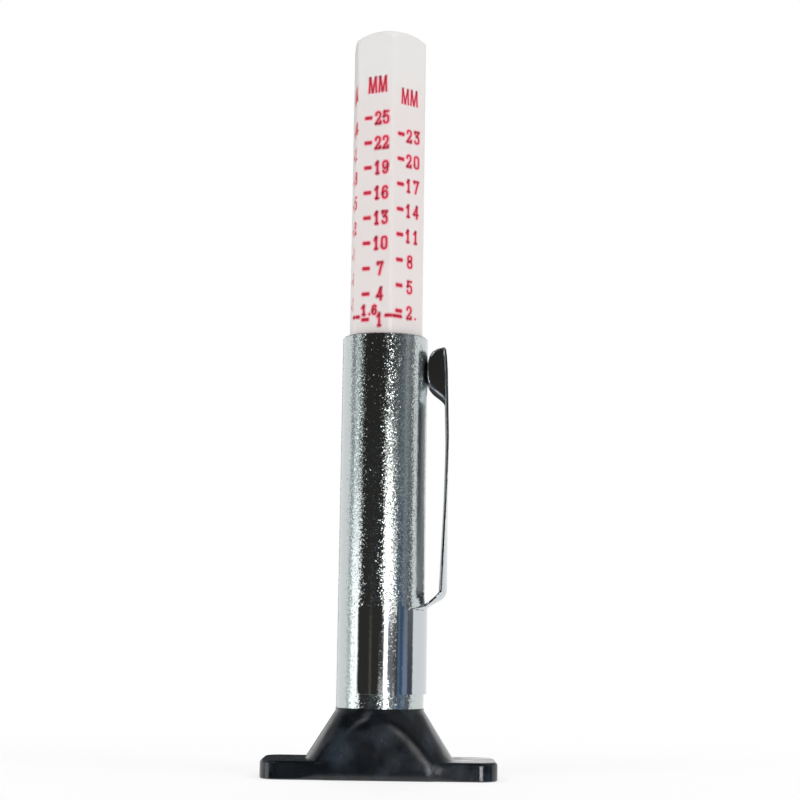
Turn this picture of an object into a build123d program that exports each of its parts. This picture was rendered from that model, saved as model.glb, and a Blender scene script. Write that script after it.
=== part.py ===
from build123d import *
import os
from math import asin, atan2, cos, degrees, radians, sin, sqrt, tan

# Pencil-type tire tread depth gauge, in millimetres.
# Origin at the bottom centre of the foot, +Z up along the barrel, +X out through the pocket clip.
# The stick is drawn as far up as it goes, with the probe just inside the foot.

# Scale stick
stick_across_flats = 8.08
stick_corner_radius = 4.55
stick_head_length = 11.75
dome_height = 2.0
stick_turn = -23.4
stick_spigot_radius = 2.9
stick_spigot_length = 5.0

# Barrel
barrel_wall = 0.25
lip_step = 0.1
lip_height = 0.6
rim_chamfer = 0.12

# Foot
foot_length = 26.4
ear_depth = 10.3
ear_thickness = 2.07
ear_corner_radius = 2.1
ear_edge_round = 0.35
foot_height = 7.74
hub_depth = 10.8
hub_base_radius = 8.4
hub_land_height = 0.29
hub_overhang = 0.05
hub_edge_round = 2.0
sole_chamfer = 0.12
spigot_height = 5.0
spigot_chamfer = 0.4
probe_lead_in = 0.8

# Probe and the sleeve that guides it
probe_radius = 1.25
probe_tip_chamfer = 0.25
probe_grip = 8.0
scale_range = 25.0
zero_offset = 0.65
sleeve_length = 10.7
sleeve_chamfer = 0.25
ring_section = 1.0
ring_chamfer = 0.25
ring_setback = 3.0

# Pocket clip, one 0.3 mm sheet
clip_sheet = 0.3
band_offset = 1.59
band_height = 9.77
band_half_angle = 123.0
band_corner_radius = 1.1
arm_root_drop = 0.39
arm_root_half_width = 4.0
arm_relief_width = 0.5
arm_half_width = 2.4
arm_stand_off = 2.55
arm_sweep_angle = 32.0
arm_root_bend = 0.5
arm_sweep_bend = 2.0
arm_trim_drop = 0.57
arm_trim_angle = 12.3
arm_trim_length = 3.45
arm_trim_reach = 1.35
arm_trim_slope = 40.0
arm_crown = 0.48
arm_steps = 16
arm_bow_height = 15.5
arm_lean = 0.19
tip_drop = 1.2
tip_lean = 0.34
tip_lean_length = 2.9
tip_corner_radius = 0.8
boss_crown = 0.08
flattening_length = 4.0
boss_half_width = 2.05
boss_length = 4.1
boss_top_radius = 2.29
boss_heel_radius = 2.0
boss_heel_angle = 43.0
boss_edge_chamfer = 0.3

# Clearances
running_gap = 0.05
sleeve_gap = 0.04
press_gap = 0.01
ring_gap = 0.02
seat_gap = 0.02
stop_gap = 0.05
end_gap = 0.35
boss_gap = 0.03

# Radii that follow from the stick outwards
lip_radius = stick_corner_radius + running_gap
bore_radius = lip_radius + lip_step
barrel_radius = bore_radius + barrel_wall
band_inner_radius = barrel_radius + press_gap
band_radius = band_inner_radius + clip_sheet
sleeve_radius = bore_radius - sleeve_gap

# Heights: the barrel is as long as the spigot, the travel and the sleeve need
spigot_top_z = foot_height + spigot_height
travel = scale_range + zero_offset
sleeve_bottom_z = spigot_top_z + travel + end_gap
sleeve_top_z = sleeve_bottom_z + sleeve_length
rim_z = sleeve_top_z + stop_gap + lip_height
ring_z = sleeve_bottom_z + ring_setback
ring_radius = bore_radius - ring_gap - ring_section / 2
groove_radius = ring_radius - ring_section / 2 - ring_gap
band_bottom_z = foot_height + band_offset
band_top_z = band_bottom_z + band_height
arm_root_z = band_top_z - arm_root_drop
arm_stand_radius = barrel_radius + arm_stand_off
arm_lean_out = 90 - arm_sweep_angle
arm_across = sin(radians(arm_lean_out))
arm_along = cos(radians(arm_lean_out))
arm_bends = arm_root_bend + arm_sweep_bend
arm_run = (arm_stand_radius - band_radius - arm_bends * (1 - arm_along)) / arm_across
arm_upright_z = arm_root_z + arm_bends * arm_across + arm_run * arm_along
tip_z = rim_z - tip_drop
boss_height = boss_length + arm_stand_off * tan(radians(boss_heel_angle))


def rod(radius, low, high):
    """Round solid on the barrel's axis between two heights."""
    return Pos(0, 0, low) * Cylinder(radius, high - low, align=(Align.CENTER, Align.CENTER, Align.MIN))


def turned(points):
    """Solid of revolution from a closed outline of (radius, height) points."""
    return revolve(Plane.XZ * make_face(Polyline(*points, close=True)), Axis.Z)


def make_foot():
    """Moulded foot: two flat ears, a conical hub cut flat front and back, and a spigot for the barrel."""
    ears = extrude(RectangleRounded(foot_length, ear_depth, ear_corner_radius), ear_thickness)
    ears = fillet(ears.edges().group_by(Axis.Z)[-1], ear_edge_round)
    shoulder_radius = barrel_radius + hub_overhang
    hub = turned(
        [
            (0, 0),
            (hub_base_radius, 0),
            (hub_base_radius, ear_thickness),
            (shoulder_radius, foot_height - hub_land_height),
            (shoulder_radius, foot_height),
            (0, foot_height),
        ]
    )
    hub &= Box(foot_length, hub_depth, foot_height, align=(Align.CENTER, Align.CENTER, Align.MIN))
    flats = hub.faces().filter_by(Axis.Y)
    arches = [edge for edge in flats.edges() if edge.center().Z > 0]
    hub = fillet(arches, hub_edge_round)
    foot = ears + hub
    foot = chamfer(foot.edges().group_by(Axis.Z)[0], sole_chamfer)
    spigot = rod(bore_radius - press_gap, ear_thickness, spigot_top_z)
    foot += chamfer(spigot.edges().group_by(Axis.Z)[-1], spigot_chamfer)
    hole_radius = probe_radius + running_gap
    foot -= rod(hole_radius, 0, spigot_top_z)
    lead_in = Cone(hole_radius, hole_radius + probe_lead_in, probe_lead_in)
    return foot - Pos(0, 0, spigot_top_z - probe_lead_in / 2) * lead_in


def make_barrel():
    """Drawn tube whose mouth is rolled in to a lip."""
    lip_bottom = rim_z - lip_height
    tube = turned(
        [
            (bore_radius, foot_height),
            (barrel_radius, foot_height),
            (barrel_radius, rim_z),
            (lip_radius, rim_z),
            (lip_radius, lip_bottom + lip_step),
            (bore_radius, lip_bottom),
        ]
    )
    return chamfer(tube.edges().group_by(Axis.Z)[-1], rim_chamfer)


def make_stick():
    """Six-sided stick with rounded corners, a turned dome and a spigot for the sleeve."""
    top_z = rim_z + travel + stick_head_length
    hexagon = RegularPolygon(stick_across_flats / 2, 6, major_radius=False)
    section = Rot(0, 0, stick_turn) * hexagon & Circle(stick_corner_radius)
    stick = Pos(0, 0, sleeve_top_z) * extrude(section, top_z - sleeve_top_z)
    dome_radius = (stick_corner_radius**2 + dome_height**2) / (2 * dome_height)
    stick &= Pos(0, 0, top_z - dome_radius) * Sphere(dome_radius) + rod(
        2 * stick_corner_radius, sleeve_top_z, top_z - dome_height
    )
    spigot_bottom = sleeve_top_z - stick_spigot_length
    stick += rod(stick_spigot_radius, spigot_bottom, sleeve_top_z)
    return stick - rod(probe_radius + press_gap, spigot_bottom, spigot_bottom + probe_grip)


def make_probe():
    """Thin steel rod pressed into the stick, flush with the foot when the gauge reads zero."""
    top_z = sleeve_top_z - stick_spigot_length + probe_grip - press_gap
    probe = rod(probe_radius, zero_offset, top_z)
    return chamfer(probe.edges().group_by(Axis.Z)[0], probe_tip_chamfer)


def make_sleeve():
    """Round sleeve on the stick's lower end, with a groove for the friction ring."""
    sleeve = rod(sleeve_radius, sleeve_bottom_z, sleeve_top_z)
    sleeve = chamfer(sleeve.edges().group_by(Axis.Z)[0], sleeve_chamfer)
    groove_half = ring_section / 2 + ring_gap
    sleeve -= rod(bore_radius, ring_z - groove_half, ring_z + groove_half) - rod(
        groove_radius, ring_z - groove_half, ring_z + groove_half
    )
    sleeve -= rod(probe_radius + press_gap, sleeve_bottom_z, sleeve_top_z)
    return sleeve - rod(
        stick_spigot_radius + press_gap, sleeve_top_z - stick_spigot_length - press_gap, sleeve_top_z
    )


def make_ring():
    """Rubber friction ring that keeps the stick where it is pushed."""
    low = ring_z - ring_section / 2
    high = ring_z + ring_section / 2
    ring = rod(ring_radius + ring_section / 2, low, high)
    ends = ring.edges().group_by(Axis.Z)
    return chamfer(ends[0] + ends[-1], ring_chamfer) - rod(ring_radius - ring_section / 2, low, high)


def make_band():
    """C-shaped sleeve of the clip, sprung round the barrel and relieved at each side of the arm's root."""
    section = Pos(band_inner_radius, band_bottom_z) * Rectangle(clip_sheet, band_height, align=Align.MIN)
    band = Rot(0, 0, -band_half_angle) * revolve(Plane.XZ * section, Axis.Z, 2 * band_half_angle)
    corners = [edge for edge in band.edges().filter_by(GeomType.LINE) if edge.length < 2 * clip_sheet]
    band = fillet(corners, band_corner_radius)
    relief = Box(
        2 * band_radius,
        2 * (arm_root_half_width + arm_relief_width),
        2 * (arm_root_drop + seat_gap),
        align=(Align.MIN, Align.CENTER, Align.CENTER),
    )
    return band - Pos(0, 0, band_top_z) * relief


def crowned_section(x, z, lean, half_width, crown):
    """Section of the arm, a sheet bent to an arc, whose crest stands at (x, z) and leans out from upright."""
    outer = (half_width**2 + crown**2) / (2 * crown)
    half_angle = asin(half_width / outer)
    corners = [
        (r * sin(turn), outer - r * cos(turn))
        for r in (outer, outer - clip_sheet)
        for turn in (-half_angle, 0, half_angle)
    ]
    outline = Curve() + [
        ThreePointArc(*corners[:3]),
        Line(corners[2], corners[5]),
        ThreePointArc(*corners[3:]),
        Line(corners[3], corners[0]),
    ]
    upward = (sin(radians(lean)), 0, cos(radians(lean)))
    return Plane(origin=(x, 0, z), x_dir=(0, 1, 0), z_dir=upward) * make_face(outline)


def make_arm_root():
    """Foot of the arm: it bends out of the band, widened at the root, and bends upright again."""
    root_crown = band_radius - sqrt(band_radius**2 - arm_root_half_width**2)
    root = crowned_section(band_radius, arm_root_z, 0, arm_root_half_width, root_crown)
    root_axis = Axis((band_radius + arm_root_bend, 0, arm_root_z), (0, 1, 0))
    start_x = band_radius + arm_root_bend * (1 - arm_along)
    start_z = arm_root_z + arm_root_bend * arm_across
    end_x = start_x + arm_run * arm_across
    end_z = start_z + arm_run * arm_along
    wide = crowned_section(start_x, start_z, arm_lean_out, arm_root_half_width, root_crown)
    slim = crowned_section(end_x, end_z, arm_lean_out, arm_half_width, arm_crown)
    upright_axis = Axis((arm_stand_radius - arm_sweep_bend, 0, arm_upright_z), (0, 1, 0))
    lower_bend = revolve(root, root_axis, arm_lean_out)
    upper_bend = revolve(slim, upright_axis, -arm_lean_out)
    piece = lower_bend + loft([wide, slim]) + upper_bend
    trim_x = band_radius - arm_root_half_width
    trim_z = band_top_z - arm_trim_drop
    knee_x = trim_x + arm_trim_length
    knee_z = trim_z + arm_trim_length * tan(radians(arm_trim_angle))
    rise = arm_trim_reach * tan(radians(arm_trim_slope))
    trim = make_face(
        Polyline(
            (trim_x, trim_z),
            (knee_x, knee_z),
            (knee_x + arm_trim_reach, knee_z + rise),
            (knee_x + arm_trim_reach, knee_z + 2 * rise),
            (trim_x, knee_z + 2 * rise),
            close=True,
        )
    )
    return piece - extrude(Plane.XZ * trim, 2 * arm_root_half_width, both=True)


def ease(share):
    """Smooth step from 0 to 1."""
    share = min(max(share, 0), 1)
    return share * share * (3 - 2 * share)


def arm_line(x):
    """Points up the arm, which starts upright at the given x and leans in twice."""
    return [
        (x, arm_upright_z),
        (x, arm_upright_z + arm_bow_height),
        (x - arm_lean, tip_z - tip_lean_length),
        (x - arm_lean - tip_lean, tip_z),
    ]


def make_arm():
    """Spring arm of the clip: a crowned strip that flattens into a hollow boss stamped into its end."""
    crest = Polyline(*arm_line(arm_stand_radius))
    sections = []
    for step in range(arm_steps + 1):
        along = crest.length * step / arm_steps
        spot = crest.position_at(along, position_mode=PositionMode.LENGTH)
        way = crest.tangent_at(along, position_mode=PositionMode.LENGTH)
        flattened = ease((along - crest.length + boss_height + flattening_length) / flattening_length)
        crown = arm_crown + (boss_crown - arm_crown) * flattened
        sections.append(crowned_section(spot.X, spot.Y, degrees(atan2(way.X, way.Y)), arm_half_width, crown))
    strip = loft(sections, ruled=True)

    near = barrel_radius + boss_gap
    far = near + 2 * arm_stand_off
    heel_z = tip_z - boss_length
    outline = make_face(
        FilletPolyline(
            (far, tip_z),
            (near, tip_z),
            (near, heel_z),
            (far, heel_z - (far - near) * tan(radians(boss_heel_angle))),
            radius=[0, boss_top_radius, boss_heel_radius, 0],
            close=True,
        )
    )
    boss = extrude(Plane.XZ * outline, boss_half_width, both=True)
    rim = boss.faces().filter_by(Axis.Y).edges()
    boss = chamfer(rim, boss_edge_chamfer)
    middle = arm_line(arm_stand_radius - clip_sheet / 2)
    beyond = make_face(Polyline(*middle, (far, tip_z), (far, arm_upright_z), close=True))
    boss -= extrude(Plane.XZ * beyond, boss_half_width, both=True)
    hollow = extrude(Plane.XZ * offset(outline, -clip_sheet), boss_half_width - clip_sheet, both=True)
    arm = strip + boss - hollow + make_arm_root()
    tip_x = middle[-1][0]
    tip_corners = [
        arm.edges().sort_by_distance((tip_x, side * arm_half_width, tip_z))[0]
        for side in (-1, 1)
    ]
    return fillet(tip_corners, tip_corner_radius)


nodes = {
    "foot": make_foot(),
    "barrel": make_barrel(),
    "clip_band": make_band(),
    "clip_arm": make_arm(),
    "scale_stick": make_stick(),
    "probe_pin": make_probe(),
    "guide_sleeve": make_sleeve(),
    "friction_ring": make_ring(),
}

os.makedirs("parts", exist_ok=True)
for name, shape in nodes.items():
    export_step(shape, f"parts/{name}.step")
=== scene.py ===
import bpy
import bmesh
from math import asin, atan2, cos, pi, radians, sin, sqrt
from mathutils import Matrix, Vector


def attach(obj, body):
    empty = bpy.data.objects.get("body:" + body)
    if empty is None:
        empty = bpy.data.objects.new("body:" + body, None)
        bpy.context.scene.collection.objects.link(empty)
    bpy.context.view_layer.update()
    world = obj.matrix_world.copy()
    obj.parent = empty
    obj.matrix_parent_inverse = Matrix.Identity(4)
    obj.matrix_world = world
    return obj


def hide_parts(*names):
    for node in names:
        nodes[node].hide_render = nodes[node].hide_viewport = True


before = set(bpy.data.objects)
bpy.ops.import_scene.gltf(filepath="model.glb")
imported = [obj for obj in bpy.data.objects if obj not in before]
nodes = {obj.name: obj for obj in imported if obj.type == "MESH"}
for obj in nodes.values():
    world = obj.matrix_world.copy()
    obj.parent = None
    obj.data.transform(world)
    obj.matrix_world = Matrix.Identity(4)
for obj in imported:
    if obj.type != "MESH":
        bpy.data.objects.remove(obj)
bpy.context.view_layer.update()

mm = 0.001
scene = bpy.context.scene


def hexToLinear(code):  # sRGB hex to the linear colour that the shaders take
    channels = [int(code[i:i + 2], 16) / 255 for i in (1, 3, 5)]
    linear = [c / 12.92 if c <= 0.04045 else ((c + 0.055) / 1.055) ** 2.4 for c in channels]
    return (*linear, 1.0)


def addNode(tree, kind, settings=None, links=None, out=None):
    # settings are plain values by socket or property name, links are other nodes' output sockets;
    # a socket goes by its number where several share one name
    node = tree.nodes.new(kind)
    for key, value in (settings or {}).items():
        if isinstance(key, int) or key in node.inputs:
            node.inputs[key].default_value = value
        else:
            setattr(node, key, value)
    for key, source in (links or {}).items():
        tree.links.new(source, node.inputs[key])
    return node if out is None else node.outputs[out]


def newMaterial(name):
    material = bpy.data.materials.new(name)
    material.use_nodes = True
    material.node_tree.nodes.clear()
    return material, material.node_tree


cameraView = {
    "place": (1.774, -193.681, 15.034),  # mm, from fitting the photo to the printed millimetres
    "pitch": 8.21,  # degrees up
    "roll": 0.84,
    "focalPixels": 1682.77,
    "photoPixels": 800,
    "sensor": 36.0,
    "clip": (10, 20000),  # mm, the nearest and farthest that it sees
}


def makeCamera(spec):
    data = bpy.data.cameras.new("photoCamera")
    data.sensor_width = spec["sensor"]
    data.lens = spec["focalPixels"] / spec["photoPixels"] * spec["sensor"]
    data.clip_start, data.clip_end = (reach * mm for reach in spec["clip"])
    camera = bpy.data.objects.new("photoCamera", data)
    scene.collection.objects.link(camera)
    pitch = Matrix.Rotation(radians(90 + spec["pitch"]), 4, "X")
    roll = Matrix.Rotation(radians(spec["roll"]), 4, "Z")
    camera.matrix_world = Matrix.Translation(Vector(spec["place"]) * mm) @ (pitch @ roll)
    scene.camera = camera


makeCamera(cameraView)
scene.view_settings.view_transform = "Standard"
print("camera done")


studio = {
    "diffuseLevel": 0.62,
    "tableRadius": 300,  # mm
    "tableHex": "#F4F4F4",
    # mm from the gauge over which its shadow on the table fades, and how deep it is near the gauge
    "tableShadow": {"from": 25, "to": 120, "share": 0.3},
    # upright boards that only glossy things see: azimuth from and to in degrees, bottom and top in
    # mm, how soft the edges are in degrees and mm, and the colour and strength at given heights
    "boards": [
        {"name": "darkRoom", "across": (-99, 88), "up": (-420, 700), "soft": (4, 0),
         "tones": [(40, "#383634", 1.0), (180, "#302E2C", 1.0)]},
        {"name": "doorEdge", "across": (-100, -84), "up": (-200, 700), "soft": (3, 0),
         "tones": [(30, "#C9D0D0", 1.0), (110, "#A0A6A6", 1.0), (180, "#8A9090", 1.0)]},
        {"name": "curtainFold", "across": (-76, -57), "up": (-200, 700), "soft": (5, 0),
         "tones": [(40, "#FFFFFF", 2.0), (110, "#A2A8A8", 1.0), (180, "#3A3D3D", 1.0)]},
        {"name": "curtain", "across": (-88, -68), "up": (-200, 700), "soft": (4, 0),
         "tones": [(40, "#FFFFFF", 2.0), (110, "#E9EFEF", 1.0), (180, "#DDE3E3", 1.0)]},
        {"name": "doorPost", "across": (-30, -21), "up": (-200, 40), "soft": (3, 20),
         "tones": [(0, "#5A574F", 1.0)]},
        {"name": "shelf", "across": (22, 60), "up": (-200, 700), "soft": (1, 0),
         "tones": [(20, "#4C4C4C", 1.0), (110, "#606264", 1.0)]},
        {"name": "floorHaze", "across": (-45, 45), "up": (-330, -30), "soft": (20, 40),
         "tones": [(0, "#566475", 1.0)]},
        {"name": "windowLow", "across": (-7, 38), "up": (-18, 2), "soft": (6, 3),
         "tones": [(-15, "#FFFDF8", 2.6), (-10, "#FFFDF8", 0.45), (0, "#FFFDF8", 0.2)]},
        {"name": "sill", "across": (13, 34), "up": (-18, 30), "soft": (4, 6),
         "tones": [(0, "#78767A", 1.0)]},
        {"name": "lowLamp", "across": (9, 24), "up": (-90, -17), "soft": (3, 4),
         "tones": [(0, "#F4F8FF", 12.0)]},
        {"name": "windowReveal", "across": (24, 41), "up": (26, 700), "soft": (3, 12),
         "tones": [(40, "#FFFDF8", 1.8), (100, "#A8A8A8", 1.0), (150, "#5A5C5E", 1.0)]},
        {"name": "window", "across": (2, 31), "up": (29, 700), "soft": (4, 12),
         "tones": [(45, "#FFFDF8", 4.0), (85, "#FFFDF8", 1.2), (120, "#6E6F70", 1.0),
                   (160, "#404142", 1.0)]},
        {"name": "windowMiddle", "across": (5, 26), "up": (31, 700), "soft": (4, 12),
         "tones": [(60, "#FFFDF8", 5.0), (110, "#FFFDF8", 0.95), (140, "#5A5B5C", 1.0),
                   (180, "#3A3B3C", 1.0)]},
        {"name": "windowSlit", "across": (7, 18), "up": (-17, 40), "soft": (2, 4),
         "tones": [(0, "#FFFDF8", 3.0)]},
        {"name": "blueSky", "across": (41, 56), "up": (-200, 700), "soft": (3, 0),
         "tones": [(20, "#5E7389", 1.0), (110, "#7C858C", 1.0), (180, "#606468", 1.0)]},
        {"name": "blueEdge", "across": (48, 55), "up": (-200, 100), "soft": (2, 40),
         "tones": [(0, "#425C80", 1.0)]},
        {"name": "skirting", "across": (54, 73), "up": (-200, 700), "soft": (4, 0),
         "tones": [(0, "#8496AE", 1.0), (40, "#8A9096", 1.0), (110, "#9EA1A3", 1.0),
                   (180, "#ABAEB0", 1.0)]},
        {"name": "rightFrame", "across": (68, 88), "up": (-200, 700), "soft": (5, 0),
         "tones": [(0, "#515359", 1.0), (40, "#777A7D", 1.0), (180, "#808385", 1.0)]},
        {"name": "highLamp", "across": (-46, -18), "up": (290, 415), "soft": (4, 15), "radius": 440,
         "tones": [(0, "#FFFFFF", 3.0)]},
        {"name": "darkBehind", "across": (181, 196), "up": (-200, 700), "soft": (1, 0),
         "tones": [(0, "#3A3C3E", 1.0)]},
    ],
    "boardRadius": 700,  # mm from the gauge to the first board, well outside the camera
    "boardGap": 4,  # mm that each later board hangs in front of the one before
    "boardStep": 3,  # degrees of a board's curve to each flat run
    # mm: level cards over the gauge, one of them dark and off to the left, and a bright one under it
    "cards": {
        "ceiling": {"height": 420, "radius": 1200, "middle": (0, 0), "hex": "#8E8E8E", "strength": 1.0},
        "ceilingShade": {"height": 400, "radius": 520, "middle": (-430, -200), "hex": "#1E1F20",
                         "strength": 1.0},
        "tableGlow": {"height": -300, "radius": 330, "middle": (0, 0), "hex": "#FFFFFF",
                      "strength": 1.35},
    },
    "lights": [  # azimuth, elevation, distance mm, size mm, watts
        (-45, 48, 500, 260, 0.62),
        (60, 42, 500, 240, 0.62),
        (180, 50, 500, 300, 0.5),
    ],
    "lightAim": 40,  # mm up the gauge, where they all point
}


def makeWorld(spec):
    # white to the camera and to what is glossy or clear, and a plain pale light on all else
    world = bpy.data.worlds.new("studioWorld")
    scene.world = world
    world.use_nodes = True
    tree = world.node_tree
    tree.nodes.clear()
    path = addNode(tree, "ShaderNodeLightPath")
    seen = addNode(tree, "ShaderNodeMath", {"operation": "MAXIMUM"},
                   {0: path.outputs["Is Camera Ray"], 1: path.outputs["Is Glossy Ray"]}, "Value")
    either = addNode(tree, "ShaderNodeMath", {"operation": "MAXIMUM"},
                     {0: seen, 1: path.outputs["Is Transmission Ray"]}, "Value")
    level = spec["diffuseLevel"]
    colour = addNode(tree, "ShaderNodeMix",
                     {"data_type": "RGBA", 6: (level, level, level, 1), 7: (1, 1, 1, 1)},
                     {0: either}, 2)
    background = addNode(tree, "ShaderNodeBackground", {"Strength": 1.0}, {"Color": colour},
                         "Background")
    addNode(tree, "ShaderNodeOutputWorld", links={"Surface": background})


def discMesh(name, radius, segments=96):
    mesh = bpy.data.meshes.new(name)
    turns = [2 * pi * i / segments for i in range(segments)]
    points = [(radius * cos(turn), radius * sin(turn), 0) for turn in turns]
    mesh.from_pydata(points, [], [list(range(segments))])
    return mesh


def makeTable(spec):
    table = bpy.data.objects.new("table", discMesh("table", spec["tableRadius"] * mm))
    scene.collection.objects.link(table)
    material, tree = newMaterial("whiteTable")  # matt white card, which shows the gauge's soft shadow
    path = addNode(tree, "ShaderNodeLightPath")
    card = addNode(tree, "ShaderNodeBsdfDiffuse", {"Color": hexToLinear(spec["tableHex"])}, out="BSDF")
    glow = addNode(tree, "ShaderNodeEmission", {"Color": (1, 1, 1, 1), "Strength": 1.0},
                   out="Emission")
    shadow = spec["tableShadow"]
    place = addNode(tree, "ShaderNodeTexCoord", out="Object")
    reach = addNode(tree, "ShaderNodeVectorMath", {"operation": "LENGTH"}, {0: place}, "Value")
    share = addNode(tree, "ShaderNodeMapRange",
                    {"interpolation_type": "SMOOTHSTEP", "From Min": shadow["from"] * mm,
                     "From Max": shadow["to"] * mm, "To Min": 1 - shadow["share"], "To Max": 1.0},
                    {"Value": reach}, "Result")
    lit = addNode(tree, "ShaderNodeMixShader", links={0: share, 1: card, 2: glow}, out=0)
    mixed = addNode(tree, "ShaderNodeMixShader",
                    links={0: path.outputs["Is Camera Ray"], 1: card, 2: lit}, out=0)
    addNode(tree, "ShaderNodeOutputMaterial", links={"Surface": mixed})
    table.data.materials.append(material)
    table.visible_glossy = False


def boardMaterial(name, spec):
    # plain glowing card, in one colour and strength low down and others higher up
    material, tree = newMaterial(name)
    tones = spec["tones"]
    bottom, top = tones[0][0], tones[-1][0] + 1
    strongest = max(strength for _, _, strength in tones)
    place = addNode(tree, "ShaderNodeTexCoord", out="Object")
    height = addNode(tree, "ShaderNodeSeparateXYZ", links={"Vector": place}, out="Z")
    share = addNode(tree, "ShaderNodeMapRange", {"From Min": bottom * mm, "From Max": top * mm},
                    {"Value": height}, "Result")
    ramp = addNode(tree, "ShaderNodeValToRGB", links={"Fac": share})
    stops = ramp.color_ramp.elements
    while len(stops) > len(tones):
        stops.remove(stops[-1])
    while len(stops) < len(tones):
        stops.new(1.0)
    for stop, (level, hexCode, strength) in zip(stops, tones):
        stop.position = (level - bottom) / (top - bottom)
        colour = hexToLinear(hexCode)[:3]
        stop.color = [channel * strength / strongest for channel in colour] + [1]
    glow = addNode(tree, "ShaderNodeEmission", {"Strength": strongest},
                   {"Color": ramp.outputs["Color"]}, "Emission")
    clear = addNode(tree, "ShaderNodeBsdfTransparent", out="BSDF")
    veil = addNode(tree, "ShaderNodeAttribute", {"attribute_name": "veil"}, out="Fac")
    mix = addNode(tree, "ShaderNodeMixShader", links={0: veil, 1: clear, 2: glow}, out=0)
    addNode(tree, "ShaderNodeOutputMaterial", links={"Surface": mix})
    return material


def hangBoard(board):
    # a board or card is part of the stage, and seen only in what is glossy
    scene.collection.objects.link(board)
    board.visible_camera = False
    board.visible_diffuse = False
    board.visible_shadow = False
    board.visible_transmission = False


def makeBoard(spec, radius, step):
    # curved round the gauge; its veil is 0 where a soft edge lets what hangs behind it through
    (start, end), (bottom, top), (softAcross, softUp) = spec["across"], spec["up"], spec["soft"]
    steps = max(1, int((end - start) / step))
    inner = [start + softAcross + (end - start - 2 * softAcross) * i / steps for i in range(steps + 1)]
    columns = [(turn, 1) for turn in inner]
    rows = [(bottom + softUp, 1), (top - softUp, 1)]
    if softAcross:
        columns = [(start, 0)] + columns + [(end, 0)]
    if softUp:
        rows = [(bottom, 0)] + rows + [(top, 0)]
    points = []
    veils = []
    for turn, veilAcross in columns:
        x, y = radius * sin(radians(turn)), -radius * cos(radians(turn))
        for z, veilUp in rows:
            points.append((x * mm, y * mm, z * mm))
            veils.append(veilAcross * veilUp)
    n = len(rows)
    faces = []
    for i in range(len(columns) - 1):
        for j in range(n - 1):
            faces.append((i * n + j, i * n + j + 1, (i + 1) * n + j + 1, (i + 1) * n + j))
    name = spec["name"] + "Board"
    mesh = bpy.data.meshes.new(name)
    mesh.from_pydata(points, [], faces)
    mesh.attributes.new("veil", "FLOAT", "POINT").data.foreach_set("value", veils)
    mesh.materials.append(boardMaterial(name, spec))
    hangBoard(bpy.data.objects.new(name, mesh))


def makeCard(name, spec):
    # over the gauge they dull what the slopes of the foot mirror, and the one below lights the
    # edges that face down
    material, tree = newMaterial(name + "Card")
    glow = addNode(tree, "ShaderNodeEmission",
                   {"Color": hexToLinear(spec["hex"]), "Strength": spec["strength"]}, out="Emission")
    addNode(tree, "ShaderNodeOutputMaterial", links={"Surface": glow})
    card = bpy.data.objects.new(name, discMesh(name, spec["radius"] * mm))
    card.location = Vector((*spec["middle"], spec["height"])) * mm
    card.data.materials.append(material)
    hangBoard(card)


def makeLights(spec):
    for index, (azimuth, elevation, distance, size, watts) in enumerate(spec["lights"]):
        data = bpy.data.lights.new(f"softbox{index}", "AREA")
        data.shape = "DISK"
        data.size = size * mm
        data.energy = watts
        lamp = bpy.data.objects.new(f"softbox{index}", data)
        scene.collection.objects.link(lamp)
        turn, rise = radians(azimuth), radians(elevation)
        way = Vector((sin(turn) * cos(rise), -cos(turn) * cos(rise), sin(rise)))
        lamp.location = way * distance * mm + Vector((0, 0, spec["lightAim"] * mm))
        lamp.rotation_euler = way.to_track_quat("Z", "Y").to_euler()
        lamp.visible_glossy = False


makeWorld(studio)
makeTable(studio)
for index, board in enumerate(studio["boards"]):
    radius = board.get("radius", studio["boardRadius"] - studio["boardGap"] * index)
    makeBoard(board, radius, studio["boardStep"])
for name, card in studio["cards"].items():
    makeCard(name, card)
makeLights(studio)
print("studio done")


# mm across each bright facet and how far the steepest lean, then mm from dent to dent of the sheet
# itself and how far those lean
chromePlate = {"hex": "#C3CACA", "roughness": 0.05, "grain": 0.072, "tilt": 0.17, "wave": 2.5,
               "sway": 0.012}
bandPlate = {"hex": "#C6CBCF", "roughness": 0.06, "grain": 0.09, "tilt": 0.02, "wave": 3.0,
             "sway": 0.005}
armPlate = {"hex": "#C6CBCF", "roughness": 0.06, "grain": 0.09, "tilt": 0.05, "wave": 3.0,
            "sway": 0.01}
facets = {
    "power": 7,  # the higher, the more facets lie nearly flat and the fewer lean far and glitter
    "larger": 1.7, "flatter": 0.8,  # the second layer of facets against the first
}


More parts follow.
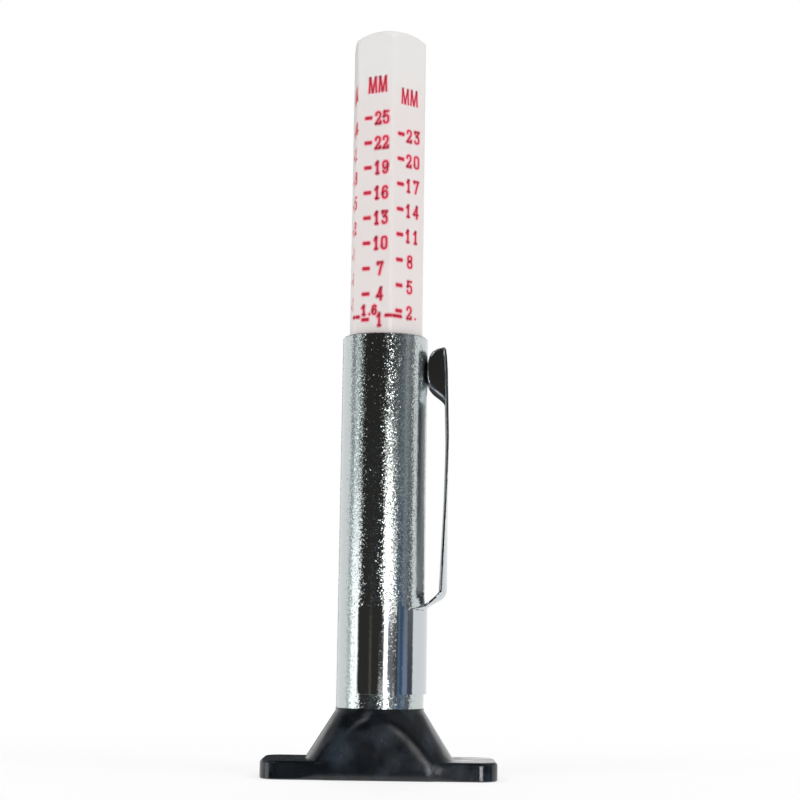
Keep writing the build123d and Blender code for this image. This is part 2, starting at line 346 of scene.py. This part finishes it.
def chromeMaterial(name, spec):
    # bright chrome plate over drawn steel: it mirrors the room, and the plated pits of the steel
    # break each reflection's edge into sparkle; the pits are drawn as coarse as they need to show
    material, tree = newMaterial(name)
    place = addNode(tree, "ShaderNodeTexCoord", out="Object")
    normal = addNode(tree, "ShaderNodeNewGeometry", out="Normal")
    vectors = "ShaderNodeVectorMath"
    larger, flatter, steepness = facets["larger"], facets["flatter"], facets["power"]
    grains = (
        ("ShaderNodeTexVoronoi", spec["grain"], spec["tilt"], steepness, {}),
        ("ShaderNodeTexVoronoi", spec["grain"] * larger, spec["tilt"] * flatter, steepness, {}),
        ("ShaderNodeTexNoise", spec["wave"], spec["sway"], 1, {"Detail": 1.0}),
    )
    for kind, size, lean, power, settings in grains:
        colour = addNode(tree, kind, {"Scale": 1 / (size * mm), **settings}, {"Vector": place}, "Color")
        moved = addNode(tree, vectors, {"operation": "SUBTRACT", 1: (0.5, 0.5, 0.5)}, {0: colour}, 0)
        centred = addNode(tree, vectors, {"operation": "MULTIPLY", 1: (2, 2, 2)}, {0: moved}, 0)
        steep = centred
        for _ in range(power - 1):
            steep = addNode(tree, vectors, {"operation": "MULTIPLY"}, {0: steep, 1: centred}, 0)
        slope = addNode(tree, vectors, {"operation": "MULTIPLY", 1: (lean, lean, lean)}, {0: steep}, 0)
        normal = addNode(tree, vectors, {"operation": "ADD"}, {0: normal, 1: slope}, 0)
    unit = addNode(tree, vectors, {"operation": "NORMALIZE"}, {0: normal}, 0)
    shader = addNode(tree, "ShaderNodeBsdfPrincipled",
                     {"Base Color": hexToLinear(spec["hex"]), "Metallic": 1.0,
                      "Roughness": spec["roughness"]}, {"Normal": unit}, "BSDF")
    addNode(tree, "ShaderNodeOutputMaterial", links={"Surface": shader})
    return material


blackPlastic = {
    "hex": "#0D1116",
    "cloud": 2.6, "cloudDetail": (4.0, 0.6),  # mm from one cloudy patch to the next
    "cloudRange": (0.35, 0.68), "cloudRoughness": (0.1, 0.3),
    "sink": 1.6, "depth": 0.03,  # mm
    # mm from patch to patch of the painted sheen: bluish-grey patches mixed into the base colour that
    # stand in for soft reflections
    "paintedSheen": 3.2, "paintedSheenRange": (0.48, 0.75), "paintedSheenHex": "#46525F", "paintedSheenShare": 0.35,
    # mm: how softly the arch meets the face, how far from the middle, and all other edges
    "archRound": 1.5, "archReach": (6.5, 9.5), "edgeRound": 0.05,
}


def mouldedMaterial(name, spec):
    # injection-moulded black ABS from a polished mould: glossy, with faint sink marks, cloudy patches
    # of handling in its gloss, and bluish patches of painted sheen in its colour
    material, tree = newMaterial(name)
    place = addNode(tree, "ShaderNodeTexCoord", out="Object")
    detail, roughness = spec["cloudDetail"]
    clouds = addNode(tree, "ShaderNodeTexNoise",
                     {"Scale": 1 / (spec["cloud"] * mm), "Detail": detail, "Roughness": roughness},
                     {"Vector": place}, "Fac")
    (low, high), (glossy, dull) = spec["cloudRange"], spec["cloudRoughness"]
    gloss = addNode(tree, "ShaderNodeMapRange",
                    {"From Min": low, "From Max": high, "To Min": glossy, "To Max": dull},
                    {"Value": clouds}, "Result")
    sinks = addNode(tree, "ShaderNodeTexNoise", {"Scale": 1 / (spec["sink"] * mm), "Detail": 1.5},
                    {"Vector": place}, "Fac")
    across = addNode(tree, "ShaderNodeSeparateXYZ", links={"Vector": place}, out="X")
    away = addNode(tree, "ShaderNodeMath", {"operation": "ABSOLUTE"}, {0: across}, "Value")
    near, far = spec["archReach"]
    soft = addNode(tree, "ShaderNodeMapRange",
                   {"From Min": near * mm, "From Max": far * mm,
                    "To Min": spec["archRound"] * mm, "To Max": spec["edgeRound"] * mm},
                   {"Value": away}, "Result")
    rounded = addNode(tree, "ShaderNodeBevel", {"samples": 8}, {"Radius": soft}, "Normal")
    bump = addNode(tree, "ShaderNodeBump", {"Strength": 1.0, "Distance": spec["depth"] * mm},
                   {"Height": sinks, "Normal": rounded}, "Normal")
    # painted sheen: bluish-grey patches mixed into the base colour in place of soft reflections on the
    # glossy plastic
    paintedSheenNoise = addNode(tree, "ShaderNodeTexNoise", {"Scale": 1 / (spec["paintedSheen"] * mm), "Detail": 2.0},
                   {"Vector": place}, "Fac")
    clean, thick = spec["paintedSheenRange"]
    paintedSheenMask = addNode(tree, "ShaderNodeMapRange",
                    {"From Min": clean, "From Max": thick, "To Max": spec["paintedSheenShare"]},
                    {"Value": paintedSheenNoise}, "Result")
    colour = addNode(tree, "ShaderNodeMix",
                     {"data_type": "RGBA", 6: hexToLinear(spec["hex"]),
                      7: hexToLinear(spec["paintedSheenHex"])}, {0: paintedSheenMask}, 2)
    shader = addNode(tree, "ShaderNodeBsdfPrincipled", {"IOR": 1.53},
                     {"Base Color": colour, "Roughness": gloss, "Normal": bump}, "BSDF")
    addNode(tree, "ShaderNodeOutputMaterial", links={"Surface": shader})
    return material


whitePlastic = {
    "hex": "#EEECEA", "roughness": 0.38,
    "bloomHex": "#EEE6E4", "bloomFade": (76, 82),  # mm above the foot's underside
}


def styreneMaterial(name, spec):
    # moulded white styrene: satin, with a pink bloom where red ink was wiped along the printed length
    material, tree = newMaterial(name)
    place = addNode(tree, "ShaderNodeTexCoord", out="Object")
    up = addNode(tree, "ShaderNodeSeparateXYZ", links={"Vector": place}, out="Z")
    low, high = spec["bloomFade"]
    bloom = addNode(tree, "ShaderNodeMapRange",
                    {"From Min": low * mm, "From Max": high * mm, "To Min": 1.0, "To Max": 0.0},
                    {"Value": up}, "Result")
    colour = addNode(tree, "ShaderNodeMix",
                     {"data_type": "RGBA", 6: hexToLinear(spec["hex"]),
                      7: hexToLinear(spec["bloomHex"])}, {0: bloom}, 2)
    shader = addNode(tree, "ShaderNodeBsdfPrincipled",
                     {"Roughness": spec["roughness"], "IOR": 1.59}, {"Base Color": colour}, "BSDF")
    addNode(tree, "ShaderNodeOutputMaterial", links={"Surface": shader})
    return material


def plasticMaterial(name, spec):
    material, tree = newMaterial(name)
    shader = addNode(tree, "ShaderNodeBsdfPrincipled",
                     {"Base Color": hexToLinear(spec["hex"]), "Roughness": spec["roughness"],
                      "IOR": 1.5}, out="BSDF")
    addNode(tree, "ShaderNodeOutputMaterial", links={"Surface": shader})
    return material


def metalMaterial(name, spec):
    material, tree = newMaterial(name)
    shader = addNode(tree, "ShaderNodeBsdfPrincipled",
                     {"Base Color": hexToLinear(spec["hex"]), "Metallic": 1.0,
                      "Roughness": spec["roughness"]}, out="BSDF")
    addNode(tree, "ShaderNodeOutputMaterial", links={"Surface": shader})
    return material


def dress(nodeName, material):
    nodes[nodeName].data.materials.clear()
    nodes[nodeName].data.materials.append(material)


barrelChrome = chromeMaterial("barrelChrome", chromePlate)
bandChrome = chromeMaterial("bandChrome", bandPlate)
armChrome = chromeMaterial("armChrome", armPlate)
# the clip's faces toward the barrel get a duller metal, greyer than the chrome: the dullness is the
# nickel that shows where chrome hardly reaches, the darker grey is painted shade between clip and
# barrel
insideShadeMetal = metalMaterial("insideShadeMetal", {"hex": "#B4B6B9", "roughness": 0.35})
inks = {  # pad-printed red ink, even and satin, and the pale run-out round each line of it
    "core": plasticMaterial("redInk", {"hex": "#D62846", "roughness": 0.4}),
    "bleed": plasticMaterial("redInkBleed", {"hex": "#FAB4BE", "roughness": 0.4}),
}
dress("barrel", barrelChrome)
dress("foot", mouldedMaterial("blackAbs", blackPlastic))
dress("scale_stick", styreneMaterial("whiteStyrene", whitePlastic))
# moulded nylon in its own creamy white, a little waxy
dress("guide_sleeve", plasticMaterial("naturalNylon", {"hex": "#E6E1D3", "roughness": 0.45}))
# nitrile rubber, black and dull
dress("friction_ring", plasticMaterial("nitrileRubber", {"hex": "#1C1C1D", "roughness": 0.7}))
# bright drawn steel rod, which blurs what it mirrors
dress("probe_pin", metalMaterial("brightSteel", {"hex": "#B9BABC", "roughness": 0.25}))
print("materials done")


def smoothed(points, step):
    # Catmull-Rom curve through a stroke's points, as even short runs
    if len(points) == 2:
        a, b = Vector(points[0]), Vector(points[1])
        count = max(1, round((b - a).length / step))
        return [a.lerp(b, i / count) for i in range(count + 1)]
    looped = points[0] == points[-1]
    knots = [Vector(p) for p in points]
    before = knots[-2] if looped else 2 * knots[0] - knots[1]
    after = knots[1] if looped else 2 * knots[-1] - knots[-2]
    knots = [before] + knots + [after]
    path = []
    for a, b, c, d in zip(knots, knots[1:], knots[2:], knots[3:]):
        count = max(2, round((c - b).length / step))
        for i in range(count):
            t = i / count
            path.append(0.5 * (2 * b + (c - a) * t + (2 * a - 5 * b + 4 * c - d) * t * t
                               + (3 * b - a - 3 * c + d) * t ** 3))
    return path + [knots[-2]]


pocketClip = {
    "sheet": 0.3,  # mm
    "edgeRound": 0.05,  # the broken edge of the stamped sheet
    "barrelRound": 0.2,  # the same on the barrel's side, where the blanking die drew it in
    "barrelRoundFrom": (28.5, 31.5),  # heights between which it grows to that
    "bandRound": 0.1,
    "bandSharp": 28,  # degrees between faces, over which an edge of the band is rounded
    "bandFlat": 0.5,  # degrees, under which its faces count as one
    "bandSegments": 3,
    "weld": {"band": 0.001, "arm": 0.002},  # points nearer than this count as one
    "insideFacing": -0.85,  # x of a face's normal, under which the arm's face looks toward the barrel and takes the darker inside metal, a painted shade
    "rootBottom": 18.71,  # mm above the foot's underside
    "bandRadius": 5.26,
    "rootHalfWidth": 4.0,
    "halfWidth": 2.4,
    "standRadius": 7.48,
    "leanOut": 60,  # degrees from upright, between the root's two bends
    "rootBend": 0.5,
    "sweepBend": 1.35,
    # x and z of the line that the root's sides are trimmed to, which ends short of where the arm
    # stands upright
    "trim": [(1.26, 18.45), (4.2, 18.95), (5.0, 19.15), (5.67, 19.62), (6.4, 20.3), (6.72, 20.85),
             (6.82, 21.5)],
    "trimStep": 0.02,
    "trimEnd": 0.5,
    "crown": 0.66,  # of the strip where it stands up
    "crownFlat": 39.5,  # the height at which the crown has run out, and how fast it goes
    "crownFall": 1.5,
    "crownLeast": 0.001,
    # x and z of the outside, to the tip
    "bends": [(7.48, 38.0), (7.38, 41.5), (7.25, 46.2), (7.13, 47.9), (7.03, 48.6), (6.85, 48.89)],
    "tipCorner": 0.22,
    # x and z round the boss seen from the side, from its heel to its top
    "boss": [(7.2, 42.3), (7.02, 42.64), (6.75, 43.02), (6.36, 43.34), (5.75, 43.81), (5.33, 44.28),
             (5.04, 44.78), (4.87, 45.4), (4.84, 46.05), (4.87, 46.7), (4.97, 47.35), (5.12, 47.87),
             (5.4, 48.34), (5.68, 48.58), (6.07, 48.8), (6.45, 48.88)],
    "bossHalfWidth": 2.05,
    "bossRound": 0.3,  # round its cheeks
    "hollowRound": 0.2,
    "hollowLeast": 0.05,
    "mouthRound": 0.12,
    # stations along each bend and along the slope between them, then mm from one to the next
    "bendSteps": 12, "slopeSteps": 7, "stripStep": 0.8, "bossStep": 0.12,
}


def roundedBand(spec):
    # the clip's band again, with its edges rounded as tumbling and plating leave them
    source = bmesh.new()
    source.from_mesh(nodes["clip_band"].data)
    bmesh.ops.remove_doubles(source, verts=source.verts, dist=spec["weld"]["band"] * mm)
    bmesh.ops.dissolve_limit(source, angle_limit=radians(spec["bandFlat"]), verts=source.verts,
                             edges=source.edges)
    for edge in source.edges:
        edge.smooth = True
    return source


def clipPiece(name, source, materials, body, node):
    for face in source.faces:
        face.smooth = True
    mesh = bpy.data.meshes.new(name)
    source.to_mesh(mesh)
    source.free()
    if "custom_normal" in mesh.attributes:
        mesh.attributes.remove(mesh.attributes["custom_normal"])
    for material in materials:
        mesh.materials.append(material)
    piece = bpy.data.objects.new(name, mesh)
    scene.collection.objects.link(piece)
    if node == "clip_band":
        rounding = piece.modifiers.new("roundedEdges", "BEVEL")
        rounding.limit_method = "ANGLE"
        rounding.angle_limit = radians(pocketClip["bandSharp"])
        rounding.width = pocketClip["bandRound"] * mm
        rounding.segments = pocketClip["bandSegments"]
    piece.modifiers.new("flatFaces", "WEIGHTED_NORMAL")
    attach(piece, body)
    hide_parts(node)


def sheetSide(wall, shoulder, mouth):
    # columns from the middle of one side of the sheet to near its edge: which part of the boss they
    # are in, their place across (on the land, a share of what is left) and their share of its round
    flat = wall - shoulder
    columns = [("floor", flat * i / 4, 0) for i in range(4)]
    for a in (0, 18, 36, 54, 72, 90):
        columns.append(("shoulder", flat + shoulder * sin(radians(a)), 1 - cos(radians(a))))
    for a in (90, 60, 30, 0):
        columns.append(("mouth", wall + mouth - mouth * sin(radians(a)), 1 - cos(radians(a))))
    return columns + [("land", share, 0) for share in (0.4, 0.8, 1.0)]


def sunk(kind, share, depth, shoulder, mouth, angle):
    # how far a column is pressed in and how far up, where the boss's outside stands at the angle
    if kind == "floor":
        return depth, 0
    if kind == "shoulder":
        inset = min(shoulder, depth) * share
        return depth - inset * cos(angle), -inset * sin(angle)
    if kind == "mouth":
        return min(mouth, max(depth - shoulder, 0)) * share, 0
    return 0, 0


def rootWidth(spec, crest, lean, half, radius):
    # how far out the root reaches before the trimming line cuts it
    reach = 0
    while reach < half:
        drop = radius - sqrt(radius ** 2 - reach ** 2)
        x = crest[0] - drop * cos(lean)
        z = crest[1] + drop * sin(lean)
        for (x0, z0), (x1, z1) in zip(spec["trim"], spec["trim"][1:]):
            if x0 <= x < x1 and z > z0 + (z1 - z0) * (x - x0) / (x1 - x0):
                return reach
        reach += spec["trimStep"]
    return half


def clipStations(spec):
    # the arm from root to tip: crest of the outside, lean, half width, radius of the crown, depths of
    # the boss on both sides, how far its hollow's floor is moved up, and the slope of its outside
    lean = radians(spec["leanOut"])
    bottom, stand = spec["rootBottom"], spec["standRadius"]
    bends = spec["rootBend"] + spec["sweepBend"]
    run = (stand - spec["bandRadius"] - bends * (1 - cos(lean))) / sin(lean)
    uprightZ = bottom + bends * sin(lean) + run * cos(lean)
    rootCrown = spec["bandRadius"] - sqrt(spec["bandRadius"] ** 2 - spec["rootHalfWidth"] ** 2)
    stations = []

    def add(x, z, angle, half, crown, depths=(0, 0), lift=0, slope=0):
        radius = (half ** 2 + crown ** 2) / (2 * crown) if crown > spec["crownLeast"] else 0
        if z < uprightZ - spec["trimEnd"]:
            half = rootWidth(spec, (x, z), angle, half, radius)
        stations.append({"x": x, "z": z, "angle": angle, "half": half, "radius": radius,
                         "depths": depths, "lift": lift, "slope": slope})

    bendSteps, slopeSteps = spec["bendSteps"], spec["slopeSteps"]
    for i in range(bendSteps + 1):
        angle = lean * i / bendSteps
        x = spec["bandRadius"] + spec["rootBend"] * (1 - cos(angle))
        add(x, bottom + spec["rootBend"] * sin(angle), angle, spec["rootHalfWidth"], rootCrown)
    x0, z0 = stations[-1]["x"], stations[-1]["z"]
    for i in range(1, slopeSteps):
        share = i / slopeSteps
        half = spec["rootHalfWidth"] + (spec["halfWidth"] - spec["rootHalfWidth"]) * share
        crown = rootCrown + (spec["crown"] - rootCrown) * share
        add(x0 + run * share * sin(lean), z0 + run * share * cos(lean), lean, half, crown)
    for i in range(bendSteps + 1):
        angle = lean * (1 - i / bendSteps)
        x = stand - spec["sweepBend"] * (1 - cos(angle))
        add(x, uprightZ - spec["sweepBend"] * sin(angle), angle, spec["halfWidth"], spec["crown"])

    line = [(stand, uprightZ)] + spec["bends"]

    def outside(z):
        for (x1, z1), (x2, z2) in zip(line, line[1:]):
            if z <= z2:
                return x1 + (x2 - x1) * (z - z1) / (z2 - z1)
        return line[-1][0]

    profile = smoothed(spec["boss"], spec["bossStep"])
    steps = round((profile[0][1] - uprightZ) / spec["stripStep"])
    for i in range(1, steps):
        z = uprightZ + (profile[0][1] - uprightZ) * i / steps
        flat = min((z - uprightZ) / (spec["crownFlat"] - uprightZ), 1)
        add(outside(z), z, 0, spec["halfWidth"], spec["crown"] * (1 - flat) ** spec["crownFall"])
    before, after = profile[:1] + profile, profile[1:] + profile[-1:]
    for (x0, z0), (x, z), (x2, z2) in zip(before, profile, after):
        angle = atan2(x2 - x0, z2 - z0)  # of the boss's outside from upright
        depth = max(outside(z) - spec["sheet"] - x, 0)
        hollow = max(outside(z) - x - spec["sheet"] * cos(angle), 0)
        lift = -spec["sheet"] * sin(angle)
        corner = max(z - (line[-1][1] - spec["tipCorner"]), 0)
        rounded = sqrt(max(spec["tipCorner"] ** 2 - corner ** 2, 0))
        half = spec["halfWidth"] - spec["tipCorner"] + rounded
        lift = lift if hollow > spec["hollowLeast"] else 0
        add(outside(z), z, 0, half, 0, (depth, hollow), lift, angle)
    return stations


def makeClipArm(spec):
    # one sheet all the way: every station is a closed loop round the strip, and the boss is pressed
    # out of it
    source = bmesh.new()
    sheet = spec["sheet"]
    low, high = spec["barrelRoundFrom"]
    hollowSide = (spec["hollowRound"], spec["mouthRound"])
    barrelSide = (spec["bossRound"], spec["mouthRound"])
    hollowColumns = sheetSide(spec["bossHalfWidth"] - sheet, *hollowSide)
    barrelColumns = sheetSide(spec["bossHalfWidth"], *barrelSide)
    rings = []
    for station in clipStations(spec):
        radius, slope = station["radius"], station["slope"]
        # the strip's own width is laid out flat first, and bent round afterwards
        half = radius * asin(station["half"] / radius) if radius else station["half"]
        grown = min(max((station["z"] - low) / (high - low), 0), 1)
        drawnIn = spec["edgeRound"] + (spec["barrelRound"] - spec["edgeRound"]) * grown
        narrowed = min((half - drawnIn) / (spec["halfWidth"] - drawnIn), 1) if radius else 1
        barrelDepth, hollowDepth = station["depths"]
        sides = ((hollowColumns, hollowSide, hollowDepth, station["lift"], 0, spec["edgeRound"]),
                 (barrelColumns, barrelSide, barrelDepth, 0, -sheet, drawnIn))
        halves = []
        for columns, rounds, depth, lift, base, broken in sides:
            points = []
            mouthEnd = columns[-4][1]
            inside = min(mouthEnd * narrowed, half - broken)
            for kind, across, share in columns:
                pressed, raised = sunk(kind, share, depth, *rounds, slope)
                if kind == "land":
                    across = inside + (half - broken - inside) * across
                else:
                    across *= narrowed
                    if kind != "mouth":
                        raised += lift
                points.append((across, base - pressed, raised))
            for a in (30, 60, 90):
                along = half - broken + broken * sin(radians(a))
                turned = broken * (1 - cos(radians(a)))
                points.append((along, base + (turned if base else -turned), 0))
            halves.append(points)
        upper, lower = halves
        right = upper + lower[::-1]
        loop = right + [(-across, out, lift) for across, out, lift in right[::-1][1:-1]]
        ring = []
        for across, out, lift in loop:
            y = across
            if radius:  # bent round, so that the sheet's edge turns with it
                turn, reach = y / radius, radius + out
                y, out = reach * sin(turn), reach * cos(turn) - radius
            x = station["x"] + out * cos(station["angle"])
            z = station["z"] - out * sin(station["angle"]) + lift
            ring.append(source.verts.new(Vector((x, y, z)) * mm))
        rings.append(ring)
    count = len(rings[0])
    for one, two in zip(rings, rings[1:]):
        for k in range(count):
            after = (k + 1) % count
            source.faces.new((one[k], one[after], two[after], two[k]))
    source.faces.new(rings[0][::-1])
    source.faces.new(rings[-1])
    bmesh.ops.remove_doubles(source, verts=source.verts, dist=spec["weld"]["arm"] * mm)
    bmesh.ops.recalc_face_normals(source, faces=source.faces)
    source.normal_update()
    for face in source.faces:
        # faces that look toward the barrel take the darker inside metal, which paints shade there
        face.material_index = 1 if face.normal.x < spec["insideFacing"] else 0
    return source


clipPiece("clipBand", roundedBand(pocketClip), (bandChrome,), "gauge_body", "clip_band")
clipPiece("clipArm", makeClipArm(pocketClip), (armChrome, insideShadeMetal), "clip", "clip_arm")
print("clip done")


stick = {
    "acrossFlats": 8.08,  # mm
    "cornerRadius": 4.55,
    "domeHeight": 2.1,
    "domeDrop": 0.23,
    "turn": -23.4,  # degrees, the face that carries 1, 4, 7 ... off the camera side
}
scale = {
    "firstMark": 51.76,  # mm above the foot's underside, where 1 mm stands
    "digit": {"width": 0.56, "height": 1.36, "drop": 0.08},
    "capital": {"width": 0.9, "height": 1.76, "drop": 0.9, "apart": 0.64},  # apart: from their middle
    "tick": {"half": 0.33, "thick": 0.16},
    # the legal wear limit of 1.6 mm: sign, left and width of its figure, and the line's two runs
    "wear": {"figure": (("1", -1.28, 0.5), (".", -0.55, 0.45), ("6", 0.08, 0.42)), "figureUp": 52.36,
             "figureTall": 1.0, "runs": ((1.75, 3.75), (-2.9, -1.66)), "up": 52.12, "thick": 0.1},
    "point": {"left": 1.05, "up": 52.06, "width": 0.3, "height": 1.0, "pen": 0.8},  # after the 2
    "pens": {"core": 0.23, "bleed": 0.52},  # mm: the line itself, and how far the ink ran round it
    "lift": {"core": 0.012, "bleed": 0.006},  # how far the ink stands out of the stick
    "depth": 0.03,  # and how far each stroke reaches into it
    "curveStep": 0.09, "lineStep": 0.12,  # mm from one point of a pen's path to the next
    "penEnds": (80, 50, 25),  # degrees round the pen's half-round ends
}
glyphs = {  # pen strokes in a box 1 wide and 1 tall
    "0": [[(0, 0.24), (0, 0.76), (0.13, 0.95), (0.5, 1), (0.87, 0.95), (1, 0.76), (1, 0.24),
           (0.87, 0.05), (0.5, 0), (0.13, 0.05), (0, 0.24)]],
    "1": [[(0.12, 0.78), (0.5, 1)], [(0.5, 1), (0.5, 0)], [(0.26, 0), (0.74, 0)]],
    "2": [[(0.02, 0.76), (0.1, 0.94), (0.45, 1), (0.86, 0.93), (0.96, 0.72), (0.8, 0.52), (0.3, 0.24),
           (0.04, 0)],
          [(0.04, 0), (0.94, 0)], [(0.94, 0), (1, 0.17)]],
    "3": [[(0.04, 0.84), (0.05, 1)], [(0.05, 1), (0.98, 1)], [(0.98, 1), (0.45, 0.6)],
          [(0.45, 0.6), (0.8, 0.58), (1, 0.34), (0.9, 0.09), (0.5, 0), (0.16, 0.03), (0.02, 0.18)]],
    "4": [[(0.76, 1), (0, 0.3)], [(0, 0.3), (1, 0.3)], [(0.76, 1), (0.76, 0)]],
    "5": [[(0.96, 1), (0.12, 1)], [(0.12, 1), (0.05, 0.56)],
          [(0.05, 0.56), (0.4, 0.64), (0.84, 0.58), (1, 0.34), (0.9, 0.08), (0.5, 0), (0.14, 0.04),
           (0, 0.2)]],
    "6": [[(0.94, 0.84), (0.82, 0.96), (0.5, 1), (0.16, 0.92), (0.02, 0.68), (0, 0.3), (0.12, 0.07),
           (0.5, 0), (0.88, 0.07), (1, 0.3), (0.88, 0.52), (0.5, 0.59), (0.12, 0.5), (0, 0.34)]],
    "7": [[(0.02, 0.85), (0.02, 1)], [(0.02, 1), (1, 1)], [(1, 1), (0.62, 0.46), (0.36, 0)]],
    "8": [[(0.5, 0.54), (0.14, 0.62), (0.05, 0.78), (0.15, 0.95), (0.5, 1), (0.85, 0.95), (0.95, 0.78),
           (0.86, 0.62), (0.5, 0.54)],
          [(0.5, 0.54), (0.1, 0.45), (0, 0.26), (0.12, 0.05), (0.5, 0), (0.88, 0.05), (1, 0.26),
           (0.9, 0.45), (0.5, 0.54)]],
    "M": [[(0, 0), (0.1, 1)], [(0.1, 1), (0.48, 0.02)], [(0.48, 0.02), (0.9, 1)], [(0.9, 1), (1, 0)]],
    ".": [[(0.5, 0), (0.52, 0.02)]],
}
glyphs["9"] = [[(1 - x, 1 - y) for x, y in stroke] for stroke in glyphs["6"]]


def onStick(face, across, height, lift):
    # a point across one of the six faces, counted from its middle, that runs on round the corner
    apothem = stick["acrossFlats"] / 2
    half = sqrt(stick["cornerRadius"] ** 2 - apothem ** 2)
    edge = atan2(half, apothem)
    if abs(across) <= half:
        out, along = apothem + lift, across
    else:
        arc = (pi / 6 - edge) * stick["cornerRadius"] * 2
        past = abs(across) - half
        side = 1 if across > 0 else -1
        if past >= arc:
            return onStick(face + side, side * (past - arc - half), height, lift)
        angle = edge + past / stick["cornerRadius"]
        out = (stick["cornerRadius"] + lift) * cos(angle)
        along = side * (stick["cornerRadius"] + lift) * sin(angle)
    turn = radians(stick["turn"] + 60 * face)
    x = out * sin(turn) + along * cos(turn)
    y = -out * cos(turn) + along * sin(turn)
    return Vector((x, y, height)) * mm


def penStroke(target, face, path, width, lift):
    # one stroke of the pen as a thin closed solid with round ends, laid on the stick
    half = width / 2
    back = (path[0] - path[1]).normalized()
    ahead = (path[-1] - path[-2]).normalized()
    stations = []
    for turn in scale["penEnds"]:
        past = back * half * sin(radians(turn))
        stations.append((path[0] + past, -back, half * cos(radians(turn))))
    for i, point in enumerate(path):
        way = (path[min(i + 1, len(path) - 1)] - path[max(i - 1, 0)]).normalized()
        stations.append((point, way, half))
    for turn in scale["penEnds"][::-1]:
        past = ahead * half * sin(radians(turn))
        stations.append((path[-1] + past, ahead, half * cos(radians(turn))))
    top, under = lift, -scale["depth"]
    rings = []
    for point, way, reach in stations:
        side = Vector((-way.y, way.x)) * reach
        a, b = point + side, point - side
        corners = ((a, top), (b, top), (b, under), (a, under))
        rings.append([target.verts.new(onStick(face, p.x, p.y, level)) for p, level in corners])
    for one, two in zip(rings, rings[1:]):
        for k in range(4):
            target.faces.new((one[k], two[k], two[(k + 1) % 4], one[(k + 1) % 4]))
    target.faces.new(rings[0])
    target.faces.new(rings[-1][::-1])


def drawGlyph(layers, face, sign, left, bottom, width, height, pen=1.0):
    for stroke in glyphs[sign]:
        points = [(left + x * width, bottom + y * height) for x, y in stroke]
        path = smoothed(points, scale["curveStep"])
        for layer, target in layers.items():
            penStroke(target, face, path, scale["pens"][layer] * pen, scale["lift"][layer])


def drawLine(layers, face, start, end, height, thick):
    # a tick or the wear line: two pen lines side by side
    for shift in (-thick / 2, thick / 2):
        path = smoothed([(start, height + shift), (end, height + shift)], scale["lineStep"])
        for layer, target in layers.items():
            penStroke(target, face, path, scale["pens"][layer], scale["lift"][layer])


def drawNumber(layers, face, number, firstCentre, pitch, height, pen):
    width, tall, drop = (scale["digit"][key] for key in ("width", "height", "drop"))
    for place, sign in enumerate(str(number)):
        left = firstCentre + place * pitch - width / 2
        drawGlyph(layers, face, sign, left, height - tall / 2 - drop, width, tall, pen)


# each column's top number, then mm across to its tick, to the first digit of two, from digit to digit
# and to a single digit, the middle of its MM, and how heavy the pen is for its digits and for MM
columns = [
    {"last": 25, "tick": -0.83, "digit": 0.4, "pitch": 1.0, "single": 0.93, "header": (0.28, 79.75),
     "pen": (1.05, 0.9)},
    {"last": 23, "tick": -1.17, "digit": 0.0, "pitch": 1.1, "single": 0.32, "header": (-0.02, 78.4),
     "pen": (0.92, 0.75)},
    {"last": 24, "tick": -0.1, "digit": 1.05, "pitch": 1.0, "single": 1.65, "header": (1.1, 79.0),
     "pen": (0.9, 0.85)},
]


def printScale():
    layers = {layer: bmesh.new() for layer in ("bleed", "core")}
    tick, capital, wear, point = (scale[key] for key in ("tick", "capital", "wear", "point"))
    for face in range(6):
        column = columns[face % 3]
        digitPen, capitalPen = column["pen"]
        number = column["last"]
        while number > 0:
            height = scale["firstMark"] + number - 1
            start, end = column["tick"] - tick["half"], column["tick"] + tick["half"]
            drawLine(layers, face, start, end, height, tick["thick"])
            centre = column["digit"] if number > 9 else column["single"]
            drawNumber(layers, face, number, centre, column["pitch"], height, digitPen)
            number -= len(columns)
        middle, height = column["header"]
        for shift in (-capital["apart"], capital["apart"]):
            left = middle + shift - capital["width"] / 2
            drawGlyph(layers, face, "M", left, height - capital["drop"], capital["width"],
                      capital["height"], capitalPen)
        if face % 3 == 0:  # the wear line, with its figure over the tick of 1
            for sign, left, width in wear["figure"]:
                drawGlyph(layers, face, sign, left, wear["figureUp"], width, wear["figureTall"])
            for start, end in wear["runs"]:
                drawLine(layers, face, start, end, wear["up"], wear["thick"])
        if face % 3 == 1:
            drawGlyph(layers, face, ".", point["left"], point["up"], point["width"],
                      point["height"], point["pen"])
    for layer, target in layers.items():
        name = "scalePrint" + layer.capitalize()
        bmesh.ops.recalc_face_normals(target, faces=target.faces)
        mesh = bpy.data.meshes.new(name)
        target.to_mesh(mesh)
        target.free()
        mesh.materials.append(inks[layer])
        piece = bpy.data.objects.new(name, mesh)
        scene.collection.objects.link(piece)
        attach(piece, "stick")


def lowerDome(spec):
    # the stick again, with its crown as flat as in the photo
    mesh = nodes["scale_stick"].data.copy()
    top = max(v.co.z for v in mesh.vertices)
    start = top - spec["domeHeight"] * mm
    for v in mesh.vertices:
        if v.co.z > start:
            v.co.z -= spec["domeDrop"] * mm * (v.co.z - start) / (top - start)
    piece = bpy.data.objects.new("stickFlatDome", mesh)
    piece.matrix_world = nodes["scale_stick"].matrix_world
    scene.collection.objects.link(piece)
    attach(piece, "stick")
    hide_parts("scale_stick")


lowerDome(stick)
printScale()
print("scale printed")
